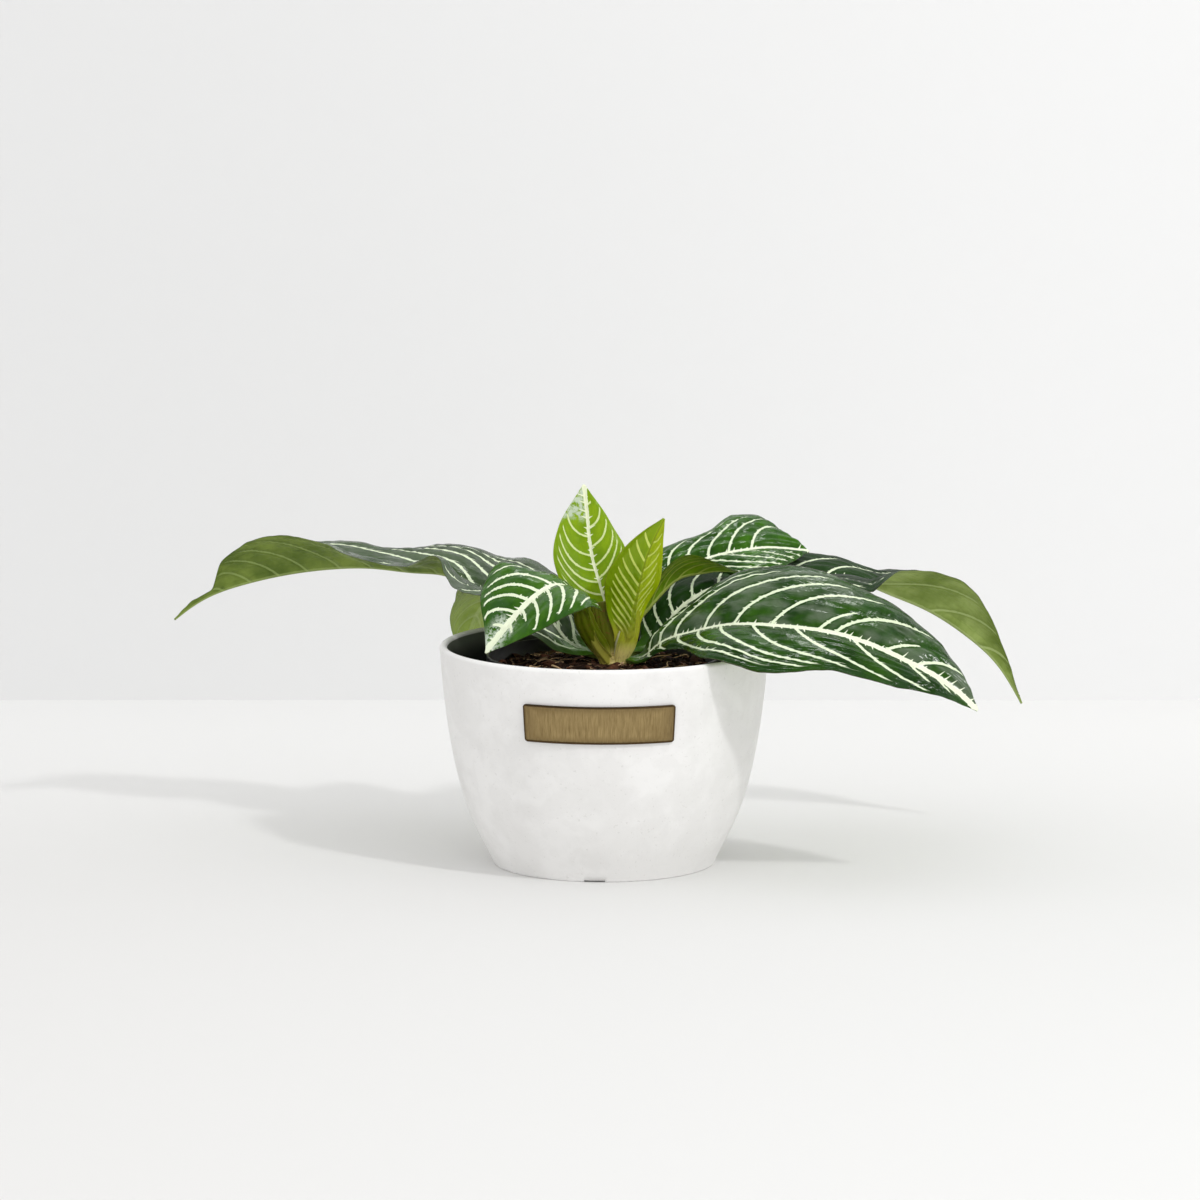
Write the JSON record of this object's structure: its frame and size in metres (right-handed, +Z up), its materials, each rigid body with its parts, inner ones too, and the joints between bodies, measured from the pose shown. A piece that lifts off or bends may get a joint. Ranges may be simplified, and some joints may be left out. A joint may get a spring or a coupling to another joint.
{
  "type": "potted zebra plant",
  "caption": "Zebra plant with arching, white-veined leaves on a short stem, in a nursery pot inside a bowl-shaped pot with a bare plate.",
  "frame": {"origin": "middle of the outer pot's flat foot, on the surface it stands on", "axes": "+Z up, -Y towards the side with the plate, +X to the right seen from that side, along the plant's widest spread"},
  "size_m": [0.4259, 0.1851, 0.1841],
  "materials": {
    "stone": "matte",
    "plate": "brushed, antiqued",
    "nursery_plastic": "matte",
    "potting_mix": "loose peat, bark and coir",
    "stem": "satin",
    "young_leaf": "satin",
    "leaf": "glossy leaf with cream veins"
  },
  "bodies": {
    "root": {"cache_pot": "stone", "pot_plate": "plate", "grow_pot": "nursery_plastic", "potting_mix": "potting_mix", "stem": "stem", "leaf_young_back": "young_leaf", "leaf_young_front": "young_leaf", "leaf_second_left": "leaf", "leaf_second_right": "leaf", "leaf_third_front": "leaf", "leaf_third_back": "leaf", "leaf_fourth_back": "leaf", "leaf_fifth_right": "leaf", "leaf_fifth_left": "leaf"}
  },
  "joints": []
}
